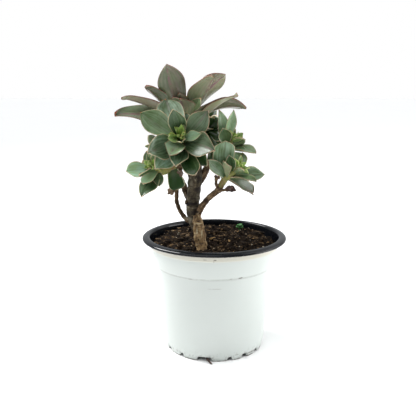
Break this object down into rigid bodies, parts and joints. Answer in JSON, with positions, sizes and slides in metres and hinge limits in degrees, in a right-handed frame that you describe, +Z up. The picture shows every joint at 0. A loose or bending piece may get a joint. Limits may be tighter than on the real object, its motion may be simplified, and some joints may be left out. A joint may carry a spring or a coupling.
{
  "type": "potted aeonium",
  "caption": "Small branched aeonium with rosettes of fleshy spoon-shaped leaves on woody stems, rooted in potting mix in a round stepped nursery pot with a dark rolled rim.",
  "frame": {"origin": "centre of the whole part's bounding box in plan, at the underside of the pot's foot ring", "axes": "+Z up along the pot's axis, -Y towards the viewer of the picture, +X to the viewer's right"},
  "size_m": [0.1532, 0.13, 0.2539],
  "materials": {
    "pot_plastic": "satin white outside, black rim and inside",
    "potting_mix": "damp crumbly peat and bark",
    "weed_green": "soft satin leaf",
    "bark": "rough mottled bark with leaf scars",
    "leaf_green": "waxy satin, pale rim with fine red edge",
    "leaf_purple": "waxy satin, purple-grey flush and dark red edge"
  },
  "bodies": {
    "root": {"pot": "pot_plastic", "soil": "potting_mix", "seedling": "weed_green", "trunk": "bark", "rosette_front": "leaf_green", "rosette_top": "leaf_purple", "rosette_left_low": "leaf_green", "rosette_right_low": "leaf_green", "rosette_right_mid": "leaf_green", "rosette_back": "leaf_green", "rosette_left_back": "leaf_green"}
  },
  "joints": []
}
